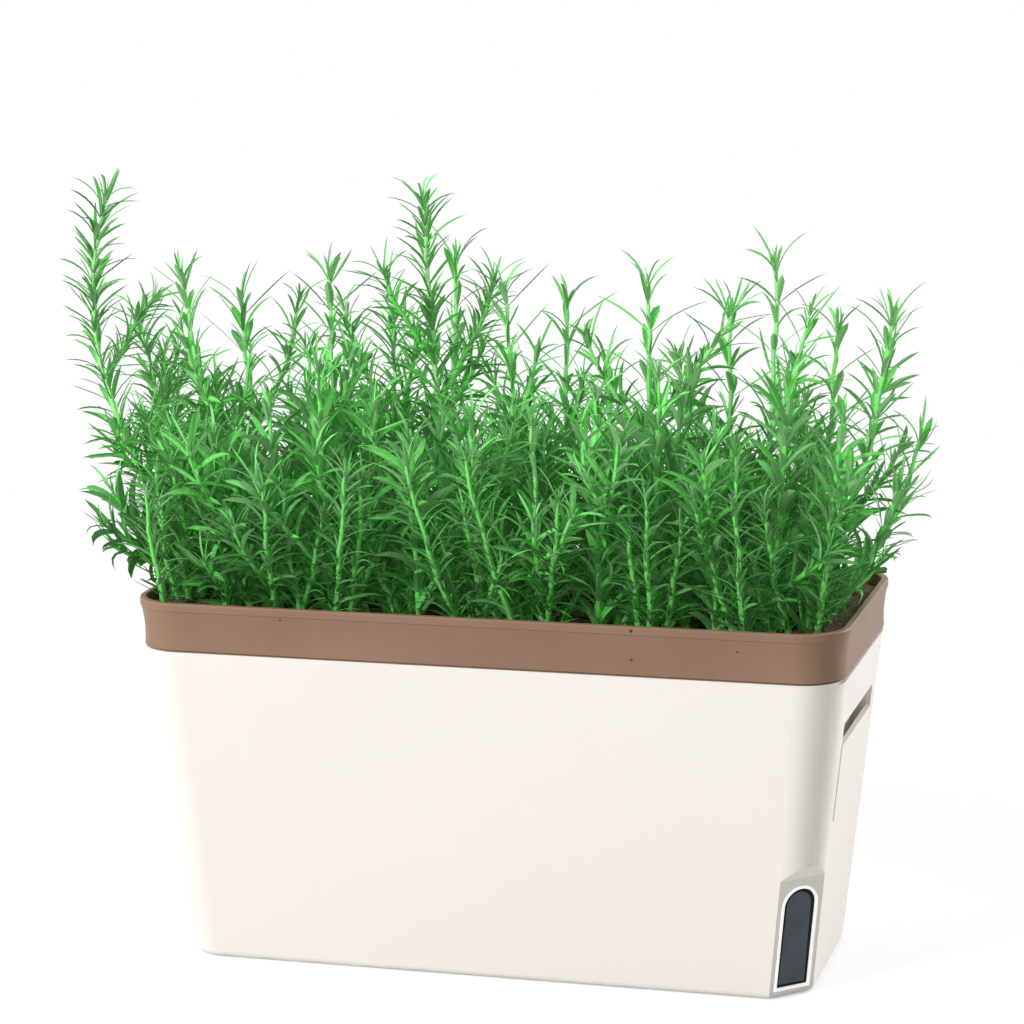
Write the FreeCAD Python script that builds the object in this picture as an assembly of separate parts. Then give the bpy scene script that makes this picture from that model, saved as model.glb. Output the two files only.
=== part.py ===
import FreeCAD, Part
import math
import os

from FreeCAD import Matrix, Placement, Vector

# Window-sill herb planter that waters itself. Lengths in millimetres, angles in degrees.
# Row frame: +X along the planter towards the sight window's end, the front wall faces -Y,
# +Z up, origin at the middle of the flat base.

# Driving sizes of the whole planter
rim_length = 370.0            # over the lip of the insert pot
rim_width = 159.4
total_height = 193.7          # base to lip, without the plants
collar_height = 26.0          # brown band that shows above the outer pot
base_length = 328.0
base_width = 119.6
overrun = 1.0                 # how far a cutting tool runs past what it cuts
flatness = 0.01               # a point this near a plane lies in it
quarter_turn = 90.0

# Outer pot
collar_overhang = 0.4         # the collar's lower edge stands this far proud of the outer pot
lip_flare = 2.0               # how far the lip stands out from the collar's lower edge
base_corner_radius = 16.5
top_corner_radius = 22.0
pot_wall = 2.3
pot_floor = 2.6
base_edge_radius = 4.0
pot_height = total_height - collar_height
top_length = rim_length - 2 * (lip_flare + collar_overhang)
top_width = rim_width - 2 * (lip_flare + collar_overhang)

# Corner facet that carries the sight window
facet_setback = 18.9          # taken off each side of the square corner
facet_top = 64.3
bevel_rise = 8.0              # height of the slope that leads from the facet back to the corner
bevel_run = 7.0

# Sight window
window_width = 18.6           # of the pane that shows
window_bottom = 5.6           # along the facet, from the base
window_top = 59.4
gasket_ring = 1.4             # pale ring seen round the pane
gasket_flange = 1.4           # how far the gasket spreads behind the wall
gasket_thickness = 1.0
gasket_proud = 0.3
lens_recess = 0.7             # pane's face below the facet
lens_flange_thickness = 1.6
lens_clip_thickness = 1.4
lens_clip_height = 9.0
lens_clip_grip = 1.2          # how far a clip reaches over the pane's flange
lens_clip_shares = (0.30, 0.78)   # places of the clips along the window's height

# Filling slot in each end wall, with the bare moulded pad below it
slot_width = 85.0
slot_bottom = 129.5
slot_top = 141.6
slot_depth = 9.2              # from the wall's face to the back of the scoop
slot_roof_drop = 2.0
slot_corner_radius = 2.5
scoop_wall = 2.0
scoop_tail = 13.0             # the scoop's back runs this far below the slot
pad_bottom = 90.5
pad_proud = 0.5

# Insert pot
insert_wall = 2.0
hang_clearance = 0.9          # between the tub and the outer pot's wall, at the top
shadow_gap = 1.2              # height of the groove over the outer pot's edge
shadow_depth = 0.9
flange_thickness = 2.2
collar_wall = 2.2
lip_thickness = 3.8
lip_height = 4.6              # thickened band at the top of the collar
lip_edge_radius = 1.1
crease_depth = 0.5
collar_sag = 0.8              # hollow of the collar's face
tub_floor_height = 62.0
tub_floor = 2.2
tub_end_gap = 12.0            # room for water round the tub's foot
tub_side_gap = 9.0
tub_foot_radius = 14.0
scoop_clearance = 1.2
floor_slot_length = 14.0
floor_slot_width = 3.0
floor_slot_pitch = 22.0
floor_slot_row_share = 0.66   # of the way from the middle to the tub's side

# Wicking cups
cup_count = 4
cup_spacing = 66.0
cup_top_radius = 16.6
cup_foot_radius = 13.0
cup_wall = 1.6
cup_foot_gap = 5.4            # above the outer pot's floor
cup_flange = 3.6
cup_clearance = 0.4
cup_slot_count = 8
cup_slot_width = 2.4
cup_slot_margin = 6.0
cup_bead = 0.9                # ring that snaps under the tub's floor
plug_clearance = 0.3

# Growing medium
soil_clearance = 0.3
soil_below_lip = 12.0

# Rosemary
plant_reach_left = 224.0      # stem tips furthest along -X and +X
plant_reach_right = 207.5
plant_top = 392.5             # end of the tallest stem, without its last needles
stem_foot_radius = 2.3        # corner of the four-sided stem
stem_tip_radius = 1.2
whorl_pitch = 11.5
first_whorl = 9.0             # above the soil
needle_length = 20.0
needle_root = 2.4             # height of a needle where it leaves the stem
needle_low_lean = 56.0        # angle from the stem, near the soil and at the tip
needle_tip_lean = 30.0
needle_count = 4
fewest_whorls = 3
low_needle_share = 0.62       # length of the lowest needles
growing_share = 0.3           # part of the stem over which the needles reach full length
soil_half_length_share = 0.92
soil_half_width_share = 0.86

# One row per stem: foot x, foot y, tip x, tip y, tip height, bow, length of the needles.
# Foot and tip places are shares of the soil's half length and half width, or of the reach.
sprig_shares = (
    (-0.97, 0.58, -0.98, 0.63, 0.67, 0.14, 1.0),
    (-0.86, 0.66, -0.73, 0.72, 0.715, 0.04, 0.9),
    (-0.66, 0.66, -0.57, 0.72, 0.60, 0.0, 0.9),
    (-0.30, 0.66, -0.19, 0.69, 0.83, 0.0, 0.95),
    (-0.48, 0.66, -0.35, 0.72, 0.68, 0.0, 0.9),
    (0.09, 0.66, 0.08, 0.72, 0.72, 0.0, 0.9),
    (0.28, 0.66, 0.18, 0.72, 0.58, 0.0, 0.9),
    (0.58, 0.66, 0.50, 0.72, 0.705, 0.03, 0.95),
    (0.84, 0.63, 0.77, 0.66, 0.685, 0.06, 0.95),
    (-0.94, 0.0, -0.98, -0.03, 1.0, 0.32, 1.3),
    (-0.80, 0.04, -0.80, 0.0, 0.79, 0.08, 1.0),
    (-0.58, 0.0, -0.44, 0.0, 0.81, 0.0, 1.05),
    (-0.20, 0.0, -0.21, -0.03, 1.0, 0.0, 1.05),
    (0.04, 0.0, -0.02, 0.0, 0.78, 0.0, 1.0),
    (0.44, 0.0, 0.34, 0.0, 0.81, 0.0, 1.05),
    (0.72, 0.0, 0.66, -0.03, 0.87, 0.05, 1.05),
    (0.92, 0.0, 0.94, -0.06, 0.74, 0.08, 1.05),
    (-0.95, -0.46, -0.92, -0.60, 0.28, 0.18, 1.0),
    (-0.84, -0.66, -0.65, -0.78, 0.44, 0.04, 0.95),
    (-0.70, -0.66, -0.51, -0.80, 0.52, 0.0, 0.95),
    (-0.53, -0.63, -0.40, -0.75, 0.61, 0.0, 0.95),
    (-0.24, -0.67, -0.18, -0.82, 0.45, 0.0, 0.9),
    (-0.05, -0.66, -0.04, -0.75, 0.51, 0.0, 0.9),
    (0.15, -0.67, 0.11, -0.80, 0.50, 0.0, 0.9),
    (0.33, -0.67, 0.27, -0.82, 0.57, 0.0, 0.95),
    (0.50, -0.63, 0.42, -0.75, 0.62, 0.0, 0.95),
    (0.69, -0.67, 0.56, -0.82, 0.47, 0.0, 0.95),
    (0.83, -0.64, 0.73, -0.76, 0.62, 0.04, 0.95),
    (0.95, -0.58, 0.86, -0.70, 0.53, 0.04, 0.95),
    (0.96, 0.16, 1.0, 0.16, 0.45, 0.15, 1.0),
    (0.92, 0.50, 0.94, 0.56, 0.26, 0.12, 0.9),
    (0.96, -0.34, 0.98, -0.46, 0.37, 0.16, 0.95),
    (-0.40, -0.30, -0.30, -0.36, 0.52, 0.0, 0.95),
)


def rounded_rectangle(length, width, radius, z):
    """Closed wire of four corner arcs and four sides, always begun at the same corner."""
    half_length = length / 2
    half_width = width / 2
    corners = ((1, 1), (-1, 1), (-1, -1), (1, -1))
    arcs = []
    for index, (side_x, side_y) in enumerate(corners):
        centre = Vector(side_x * (half_length - radius), side_y * (half_width - radius), z)
        start = index * quarter_turn
        arcs.append(Part.makeCircle(radius, centre, Vector(0, 0, 1), start, start + quarter_turn))
    edges = []
    for index, arc in enumerate(arcs):
        following = arcs[(index + 1) % len(arcs)]
        edges.append(arc)
        edges.append(Part.makeLine(arc.valueAt(arc.LastParameter), following.valueAt(following.FirstParameter)))
    return Part.Wire(edges)


def pot_wire(z, inset):
    """Outline of the outer pot's wall at a height, moved in from its outer face."""
    share = z / pot_height
    length = base_length + (top_length - base_length) * share - 2 * inset
    width = base_width + (top_width - base_width) * share - 2 * inset
    radius = base_corner_radius + (top_corner_radius - base_corner_radius) * share - inset
    return rounded_rectangle(length, width, radius, z)


def pot_half_length(z):
    return (base_length + (top_length - base_length) * z / pot_height) / 2


def pot_half_width(z):
    return (base_width + (top_width - base_width) * z / pot_height) / 2


def extruded(points, direction):
    """Solid swept from a closed polygon along a vector."""
    outline = Part.makePolygon(list(points) + [points[0]])
    return Part.Face(outline).extrude(direction)


corner_out = Vector(1, -1, 0).normalize()
corner_along = Vector(1, 1, 0).normalize()


def facet_distance(z):
    """How far the facet lies from the planter's axis, along the corner's diagonal."""
    return (pot_half_length(z) + pot_half_width(z) - facet_setback) * corner_out.x


def corner_cutter(inset):
    """What is taken off the corner: the facet below, and the slope that leads back above it."""
    low = -pot_floor
    far = facet_distance(facet_top) + base_corner_radius + facet_setback
    slope_end = facet_distance(facet_top) + bevel_run
    profile = (
        (facet_distance(low) - inset, low),
        (facet_distance(facet_top) - inset, facet_top),
        (slope_end - inset, facet_top + bevel_rise),
        (far, facet_top + bevel_rise * (far - facet_distance(facet_top)) / bevel_run),
        (far, low),
    )
    middle = (pot_half_length(0) - pot_half_width(0)) * corner_along.x
    half_span = 2 * facet_setback
    points = []
    for out, z in profile:
        points.append(corner_out * out + corner_along * (middle - half_span) + Vector(0, 0, z))
    return extruded(points, corner_along * (2 * half_span))


def facet_placement():
    """Frame on the facet: first axis across it, second up its middle, third out of it."""
    def chord_middle(z):
        along = (pot_half_length(z) - pot_half_width(z)) * corner_along.x
        return corner_out * facet_distance(z) + corner_along * along + Vector(0, 0, z)

    start = chord_middle(0)
    upward = (chord_middle(facet_top) - start).normalize()
    outward = corner_along.cross(upward).normalize()
    level = upward.cross(outward)
    return Placement(Matrix(
        level.x, upward.x, outward.x, start.x,
        level.y, upward.y, outward.y, start.y,
        level.z, upward.z, outward.z, start.z,
        0, 0, 0, 1))


def arch(grow, depth_low, depth_high):
    """Arched prism on the facet, the pane's outline grown on every side."""
    half = window_width / 2 + grow
    bottom = window_bottom - grow
    spring = window_top - window_width / 2
    left_foot = Vector(-half, bottom, depth_low)
    right_foot = Vector(half, bottom, depth_low)
    right_spring = Vector(half, spring, depth_low)
    left_spring = Vector(-half, spring, depth_low)
    crown = Vector(0, spring + half, depth_low)
    edges = [
        Part.makeLine(left_foot, right_foot),
        Part.makeLine(right_foot, right_spring),
        Part.Arc(right_spring, crown, left_spring).toShape(),
        Part.makeLine(left_spring, left_foot),
    ]
    solid = Part.Face(Part.Wire(edges)).extrude(Vector(0, 0, depth_high - depth_low))
    solid.Placement = facet_placement()
    return solid


def local_box(level_low, level_high, up_low, up_high, out_low, out_high):
    """Box set out in the facet's frame."""
    size = (level_high - level_low, up_high - up_low, out_high - out_low)
    box = Part.makeBox(*size, Vector(level_low, up_low, out_low))
    box.Placement = facet_placement()
    return box


def lens_clips():
    """Hooks on the walls beside the facet that hold the pane's flange from behind."""
    back = -(pot_wall + gasket_thickness + lens_flange_thickness)
    flange_half = window_width / 2 + gasket_ring + gasket_flange
    span = window_top - window_bottom
    clips = []
    for share in lens_clip_shares:
        low = window_bottom + span * share - lens_clip_height / 2
        for side in (-1, 1):
            inner = side * (flange_half - lens_clip_grip)
            outer = side * (flange_half + pot_wall + lens_clip_thickness)
            clips.append(local_box(
                min(inner, outer), max(inner, outer), low, low + lens_clip_height,
                back - lens_clip_thickness, back))
    return clips


def slot_air(side, grow, low):
    """Space of the filling slot and its scoop on one end, or the same grown by a wall."""
    face_low = pot_half_length(slot_bottom)
    back = face_low - slot_depth - grow
    mouth = face_low + slot_depth if grow == 0 else face_low - pot_wall / 2
    roof_back = slot_top - slot_roof_drop + grow
    profile = ((back, low), (mouth, low), (mouth, slot_top + grow), (back, roof_back))
    half = slot_width / 2 + grow
    points = [Vector(side * x, -half, z) for x, z in profile]
    block = extruded(points, Vector(0, 2 * half, 0))
    if grow == 0:
        return rounded_ends(block)
    return block


def rounded_ends(block):
    """Rounds the slot's corners where they show on the end wall."""
    corners = []
    for edge in block.Edges:
        start, end = (vertex.Point for vertex in (edge.Vertexes[0], edge.Vertexes[-1]))
        along_x = abs(end.x - start.x) > abs(end.y - start.y) + abs(end.z - start.z)
        if along_x and min(start.z, end.z) > slot_bottom:
            corners.append(edge)
    return block.makeFillet(slot_corner_radius, corners)


def end_pad(side):
    """Bare moulded pad under the slot, a thin skin proud of the end wall."""
    skin = Part.makeLoft([pot_wire(pad_bottom, -pad_proud), pot_wire(slot_bottom, -pad_proud)], True, True)
    reach = top_length / 2
    box = Part.makeBox(
        reach, slot_width, slot_bottom - pad_bottom,
        Vector(0 if side > 0 else -reach, -slot_width / 2, pad_bottom))
    return skin.common(box)


def outer_pot():
    """Cream tapered shell with the corner facet, window opening and filling slots."""
    body = Part.makeLoft([pot_wire(0, 0), pot_wire(pot_height, 0)], True, True)
    body = body.cut(corner_cutter(0))
    foot_edges = [edge for edge in body.Edges if max(abs(v.Z) for v in edge.Vertexes) < flatness]
    body = body.makeFillet(min(base_edge_radius, base_corner_radius / 2), foot_edges)
    for side in (-1, 1):
        body = body.fuse(end_pad(side))
    above = pot_height + overrun
    cavity = Part.makeLoft([pot_wire(pot_floor, pot_wall), pot_wire(above, pot_wall)], True, True)
    cavity = cavity.cut(corner_cutter(pot_wall))
    shell = body.cut(cavity)
    for side in (-1, 1):
        scoop = slot_air(side, scoop_wall, slot_bottom - scoop_tail)
        passage = scoop_passage(side)
        shell = shell.fuse(scoop.cut(passage)).cut(slot_air(side, 0, slot_bottom))
    for clip in lens_clips():
        shell = shell.fuse(clip.common(body))
    shell = shell.cut(arch(gasket_ring, -2 * pot_wall, 2 * pot_wall))
    return shell.removeSplitter()


def scoop_passage(side):
    """Way down behind the end wall, from the scoop into the reservoir."""
    face_low = pot_half_length(slot_bottom)
    back = face_low - slot_depth
    front = face_low - pot_wall / 2
    low = slot_bottom - scoop_tail - overrun
    size = (front - back, slot_width, slot_bottom - low)
    corner = Vector(back if side > 0 else -front, -slot_width / 2, low)
    return Part.makeBox(*size, corner)


def window_gasket():
    """Pale ring in the opening, with a thin flange behind the wall."""
    ring = arch(gasket_ring, -pot_wall, gasket_proud)
    flange = arch(gasket_ring + gasket_flange, -pot_wall - gasket_thickness, -pot_wall)
    hole = arch(0, -2 * pot_wall - gasket_thickness, gasket_proud + overrun)
    return ring.fuse(flange).cut(hole)


def window_lens():
    """Stepped smoked pane: the window itself and the flange behind the gasket."""
    back = -pot_wall - gasket_thickness
    pane = arch(0, back, -lens_recess)
    flange = arch(gasket_ring + gasket_flange, back - lens_flange_thickness, back)
    return pane.fuse(flange).removeSplitter()


# The tub hangs inside the outer pot, so its sizes follow from the pot's
hang_inset = pot_wall + hang_clearance
tub_foot_length = 2 * (pot_half_length(tub_floor_height) - pot_wall - tub_end_gap)
tub_foot_width = 2 * (pot_half_width(tub_floor_height) - pot_wall - tub_side_gap)


def tub_wire(z, inset):
    """Outline of the tub's outer face at a height, moved in by an inset."""
    share = (z - tub_floor_height) / (pot_height - tub_floor_height)
    top_radius = top_corner_radius - hang_inset
    length = tub_foot_length + (top_length - 2 * hang_inset - tub_foot_length) * share
    width = tub_foot_width + (top_width - 2 * hang_inset - tub_foot_width) * share
    radius = tub_foot_radius + (top_radius - tub_foot_radius) * share
    return rounded_rectangle(length - 2 * inset, width - 2 * inset, radius - inset, z)


def scoop_pocket(side, grow):
    """Room left in the tub's end wall for the scoop, or the same grown by the tub's wall."""
    back = pot_half_length(slot_bottom) - slot_depth - scoop_wall - scoop_clearance - grow
    half = slot_width / 2 + scoop_wall + scoop_clearance + grow
    top = slot_top + scoop_wall + scoop_clearance + grow
    depth = rim_length / 2 - back
    corner = Vector(back if side > 0 else -back - depth, -half, 0)
    return Part.makeBox(depth, 2 * half, top, corner)


def collar_profile():
    """Section of the collar: flange, shadow gap, hollow face, crease and rolled lip."""
    edge_out = hang_inset + collar_overhang
    lip_out = edge_out + lip_flare
    rest_out = hang_inset - shadow_depth
    start = pot_height
    top = total_height
    crease = top - lip_height
    crease_out = lip_out - crease_depth
    inner_low = edge_out - collar_wall
    inner_lip = lip_out - lip_thickness
    middle = (start + shadow_gap + crease) / 2
    middle_out = (edge_out + crease_out) / 2 - collar_sag
    turn = lip_edge_radius

    def at(out, z):
        return Vector(out, 0, z)

    roll = turn * (1 - math.sqrt(0.5))
    floor_in = start - flange_thickness
    return [
        Part.makeLine(at(-insert_wall, floor_in), at(0, floor_in)),
        Part.makeLine(at(0, floor_in), at(0, start)),
        Part.makeLine(at(0, start), at(rest_out, start)),
        Part.makeLine(at(rest_out, start), at(rest_out, start + shadow_gap)),
        Part.makeLine(at(rest_out, start + shadow_gap), at(edge_out, start + shadow_gap)),
        Part.Arc(at(edge_out, start + shadow_gap), at(middle_out, middle), at(crease_out, crease)).toShape(),
        Part.makeLine(at(crease_out, crease), at(lip_out, crease + crease_depth)),
        Part.makeLine(at(lip_out, crease + crease_depth), at(lip_out, top - turn)),
        Part.Arc(at(lip_out, top - turn), at(lip_out - roll, top - roll), at(lip_out - turn, top)).toShape(),
        Part.makeLine(at(lip_out - turn, top), at(inner_lip + turn, top)),
        Part.Arc(at(inner_lip + turn, top), at(inner_lip + roll, top - roll), at(inner_lip, top - turn)).toShape(),
        Part.makeLine(at(inner_lip, top - turn), at(inner_lip, crease)),
        Part.makeLine(at(inner_lip, crease), at(inner_low, start + shadow_gap + flange_thickness)),
        Part.makeLine(at(inner_low, start + shadow_gap + flange_thickness), at(-insert_wall, start)),
        Part.makeLine(at(-insert_wall, start), at(-insert_wall, floor_in)),
    ]


def collar():
    """The collar's section carried round the tub's outline."""
    path = tub_wire(pot_height, 0)
    side_middle = Vector(0, (top_width / 2 - hang_inset), pot_height)
    section = Part.Wire(collar_profile())
    section.rotate(Vector(0, 0, 0), Vector(0, 0, 1), quarter_turn)
    section.translate(Vector(0, side_middle.y, 0))
    path = wire_from(path, side_middle)
    sweep = Part.BRepOffsetAPI.MakePipeShell(path)
    sweep.setBiNormalMode(Vector(0, 0, 1))
    sweep.add(section, False, False)
    sweep.build()
    sweep.makeSolid()
    return sweep.shape()


def wire_from(path, start):
    """The same closed path, begun at a point in the middle of one of its sides."""
    edges = []
    for edge in path.OrderedEdges:
        first = edge.Vertexes[0].Point
        last = edge.Vertexes[-1].Point
        on_edge = edge.Curve.TypeId == "Part::GeomLine" and start.distanceToLine(first, last - first) < overrun
        between = (start - first).dot(start - last) < 0
        if on_edge and between:
            ends = sorted((first, last), key=lambda point: -point.x)
            edges.append((Part.makeLine(ends[0], start), Part.makeLine(start, ends[1])))
        else:
            edges.append((edge,))
    split_at = next(index for index, group in enumerate(edges) if len(group) == 2)
    ordered = [edges[split_at][1]]
    for group in edges[split_at + 1:] + edges[:split_at]:
        ordered.append(group[0])
    ordered.append(edges[split_at][0])
    return Part.Wire(ordered)


def cup_places():
    """Centres of the wicking cups along the tub's floor."""
    first = -(cup_count - 1) / 2 * cup_spacing
    return [first + index * cup_spacing for index in range(cup_count)]


def floor_slots():
    """Drainage slots in the tub's floor, kept clear of the cups."""
    row = tub_foot_width / 2 * floor_slot_row_share
    count = int((tub_foot_length / 2 - tub_foot_radius) // floor_slot_pitch)
    depth = tub_floor + 2 * overrun
    low = tub_floor_height - overrun
    slots = []
    for index in range(-count, count + 1):
        for side in (-1, 1):
            corner = Vector(
                index * floor_slot_pitch - floor_slot_width / 2,
                side * row - floor_slot_length / 2, low)
            slots.append(Part.makeBox(floor_slot_width, floor_slot_length, depth, corner))
    return slots


def insert_pot():
    """Brown pot: collar, hanging flange, tapered tub and perforated floor."""
    outside = Part.makeLoft([tub_wire(tub_floor_height, 0), tub_wire(pot_height, 0)], True, True)
    above = pot_height + overrun
    floor_top = tub_floor_height + tub_floor
    inside = Part.makeLoft([tub_wire(floor_top, insert_wall), tub_wire(above, insert_wall)], True, True)
    for side in (-1, 1):
        outside = outside.cut(scoop_pocket(side, 0))
        inside = inside.cut(scoop_pocket(side, insert_wall))
    pot = outside.cut(inside).fuse(collar())
    for x in cup_places():
        socket = Part.makeCylinder(
            cup_top_radius + cup_clearance, tub_floor + 2 * overrun,
            Vector(x, 0, tub_floor_height - overrun))
        pot = pot.cut(socket)
    return pot.cut(floor_slots()).removeSplitter()


def wick_cup(x):
    """Slotted cup that stands in the water and hangs by its flange from the tub's floor."""
    foot = pot_floor + cup_foot_gap
    seat = tub_floor_height + tub_floor
    rim = seat + cup_wall
    flange_out = cup_top_radius + cup_clearance + cup_flange
    under = tub_floor_height - cup_clearance
    bead_out = cup_top_radius + cup_bead

    def at(radius, z):
        return Vector(x + radius, 0, z)

    section = [
        at(0, foot), at(cup_foot_radius, foot), at(cup_top_radius, under - 2 * cup_bead),
        at(bead_out, under - cup_bead), at(bead_out, under), at(cup_top_radius, under),
        at(cup_top_radius, seat), at(flange_out, seat), at(flange_out, rim),
        at(cup_top_radius - cup_wall, rim), at(cup_foot_radius - cup_wall, foot + cup_wall),
        at(0, foot + cup_wall),
    ]
    wire = Part.makePolygon(section + section[:1])
    cup = Part.Face(wire).revolve(Vector(x, 0, 0), Vector(0, 0, 1), 360)
    slot_low = foot + cup_slot_margin
    slot_high = tub_floor_height - cup_slot_margin
    for index in range(cup_slot_count // 2):
        slot = Part.makeBox(
            4 * cup_top_radius, cup_slot_width, slot_high - slot_low,
            Vector(x - 2 * cup_top_radius, -cup_slot_width / 2, slot_low))
        slot.rotate(Vector(x, 0, 0), Vector(0, 0, 1), index * 360 / cup_slot_count)
        cup = cup.cut(slot)
    return cup


def wick_plug(x):
    """Growing medium packed in a cup, which draws the water up."""
    foot = pot_floor + cup_foot_gap + cup_wall + plug_clearance
    rim = tub_floor_height + tub_floor + cup_wall
    inner_foot = cup_foot_radius - cup_wall - plug_clearance
    inner_top = cup_top_radius - cup_wall - plug_clearance
    return Part.makeCone(inner_foot, inner_top, rim - foot, Vector(x, 0, foot))


soil_top = total_height - soil_below_lip


def potting_mix():
    """Medium that fills the tub up to a little below the lip."""
    low = tub_floor_height + tub_floor + soil_clearance
    inset = insert_wall + soil_clearance
    fill = Part.makeLoft([tub_wire(low, inset), tub_wire(soil_top, inset)], True, True)
    for side in (-1, 1):
        fill = fill.cut(scoop_pocket(side, inset))
    flange_out = cup_top_radius + cup_clearance + cup_flange + soil_clearance
    for x in cup_places():
        seat = Part.makeCylinder(flange_out, tub_floor + cup_wall, Vector(x, 0, tub_floor_height + tub_floor))
        fill = fill.cut(seat)
    return fill


def sprig_axis(row):
    """Points and directions along one stem, from the soil to its tip."""
    foot_x, foot_y, tip_x, tip_y, tip_z, bow, needle_share = row
    half_length = (top_length / 2 - hang_inset) * soil_half_length_share
    half_width = (top_width / 2 - hang_inset) * soil_half_width_share
    reach = plant_reach_left if tip_x < 0 else plant_reach_right
    foot = Vector(foot_x * half_length, foot_y * half_width, soil_top)
    tip = Vector(tip_x * reach, tip_y * half_width, soil_top + tip_z * (plant_top - soil_top))
    lean = math.copysign(bow * (tip.z - foot.z), tip.x - foot.x)
    bend = (foot + tip) / 2 + Vector(lean, 0, 0)

    def point(share):
        return foot * (1 - share) ** 2 + bend * (2 * share * (1 - share)) + tip * share ** 2

    def direction(share):
        return ((bend - foot) * (1 - share) + (tip - bend) * share).normalize()

    return point, direction, (tip - foot).Length


def ring(centre, normal, radius, turn):
    """Corners of the stem's section, as many as a whorl has needles."""
    first = normal.cross(Vector(0, 1, 0)).normalize()
    second = normal.cross(first)
    corners = []
    for index in range(needle_count):
        angle = math.radians(turn + index * 360 / needle_count)
        corners.append(centre + first * (radius * math.cos(angle)) + second * (radius * math.sin(angle)))
    return corners


def triangle(first, second, third):
    return Part.Face(Part.makePolygon([first, second, third, first]))


def stem_faces(low, high):
    """Skin of the stem between two of its sections."""
    faces = []
    for index in range(needle_count):
        following = (index + 1) % needle_count
        faces.append(triangle(low[index], low[following], high[following]))
        faces.append(triangle(low[index], high[following], high[index]))
    return faces


def needle_faces(low, high, index, tip):
    """A needle grows from the stem's side between two sections and ends in a point."""
    following = (index + 1) % needle_count
    root = (low[index], low[following], high[following], high[index])
    return [triangle(corner, root[(place + 1) % len(root)], tip) for place, corner in enumerate(root)]


def rosemary_sprig(row):
    """One stem with its whorls of needles, turned by half a step from whorl to whorl."""
    point, direction, length = sprig_axis(row)
    needle_share = row[-1]
    whorls = max(fewest_whorls, round((length - first_whorl) / whorl_pitch))
    step = 360 / needle_count
    root_share = needle_root / length
    foot = ring(point(0), Vector(0, 0, 1), stem_foot_radius, 0)
    faces = [Part.Face(Part.makePolygon(foot + foot[:1]))]
    below = foot
    for whorl in range(whorls):
        start = (first_whorl + (length - first_whorl) * whorl / whorls) / length
        end = start + root_share
        radius = stem_foot_radius + (stem_tip_radius - stem_foot_radius) * start
        turn = step / 2 * whorl
        low = ring(point(start), direction(start), radius, turn)
        high = ring(point(end), direction(end), radius, turn)
        faces.extend(stem_faces(below, low))
        lean = math.radians(needle_low_lean + (needle_tip_lean - needle_low_lean) * start)
        full = min(1, low_needle_share + (1 - low_needle_share) * start / growing_share)
        reach = needle_length * needle_share * full
        for index in range(needle_count):
            following = (index + 1) % needle_count
            middle = (low[index] + low[following]) / 2
            out = (middle - point(start)).normalize()
            tip = middle + direction(start) * (reach * math.cos(lean)) + out * (reach * math.sin(lean))
            faces.extend(needle_faces(low, high, index, tip))
        below = high
    bud = point(1)
    for index in range(needle_count):
        faces.append(triangle(below[index], below[(index + 1) % needle_count], bud))
    shell = Part.makeShell(faces)
    shell.sewShape()
    return Part.Solid(Part.Shell(shell.Faces))


def save(name, shape):
    """Writes one node and prints its volume."""
    solids = len(shape.Solids)
    print(name, "solids", solids, "volume", round(shape.Volume), "valid", shape.isValid())
    shape.exportStep("parts/" + name + ".step")


def main():
    os.makedirs("parts", exist_ok=True)
    save("outer_pot", outer_pot())
    save("window_gasket", window_gasket())
    save("window_lens", window_lens())
    save("insert_pot", insert_pot())
    for index, x in enumerate(cup_places(), 1):
        save("wick_cup_" + str(index), wick_cup(x))
        save("wick_plug_" + str(index), wick_plug(x))
    save("potting_mix", potting_mix())
    for index, row in enumerate(sprig_shares, 1):
        save("rosemary_sprig_" + str(index).zfill(2), rosemary_sprig(row))


main()
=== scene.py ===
import math
import random

import bmesh
import bpy
import numpy as np
from mathutils import Matrix, Vector, noise


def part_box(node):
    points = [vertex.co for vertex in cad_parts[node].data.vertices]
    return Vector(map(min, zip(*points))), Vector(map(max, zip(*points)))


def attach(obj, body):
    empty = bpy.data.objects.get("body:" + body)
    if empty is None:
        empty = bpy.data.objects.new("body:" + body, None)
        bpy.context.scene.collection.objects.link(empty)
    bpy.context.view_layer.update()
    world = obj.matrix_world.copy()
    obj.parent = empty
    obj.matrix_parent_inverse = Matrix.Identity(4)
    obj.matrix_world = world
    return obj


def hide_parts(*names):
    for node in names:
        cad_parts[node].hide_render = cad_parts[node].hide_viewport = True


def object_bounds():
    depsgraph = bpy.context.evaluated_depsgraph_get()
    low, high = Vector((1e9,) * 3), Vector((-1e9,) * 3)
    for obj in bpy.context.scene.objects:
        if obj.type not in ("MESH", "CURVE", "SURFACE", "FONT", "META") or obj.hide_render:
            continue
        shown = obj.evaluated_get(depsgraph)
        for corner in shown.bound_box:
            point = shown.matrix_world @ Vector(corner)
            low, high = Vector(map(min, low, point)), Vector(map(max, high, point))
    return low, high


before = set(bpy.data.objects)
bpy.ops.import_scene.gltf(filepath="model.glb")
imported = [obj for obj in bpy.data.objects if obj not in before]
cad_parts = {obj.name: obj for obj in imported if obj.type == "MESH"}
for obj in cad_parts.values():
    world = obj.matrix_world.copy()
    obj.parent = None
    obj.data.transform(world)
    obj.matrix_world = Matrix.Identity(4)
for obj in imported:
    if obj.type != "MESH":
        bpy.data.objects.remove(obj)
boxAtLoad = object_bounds()
print("frame loaded:", len(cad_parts), "nodes")


# Shader maths

# the Mix node's two colours and its colour result, which have no names of their own
mixFirst, mixSecond, mixColour = 6, 7, 2


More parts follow.
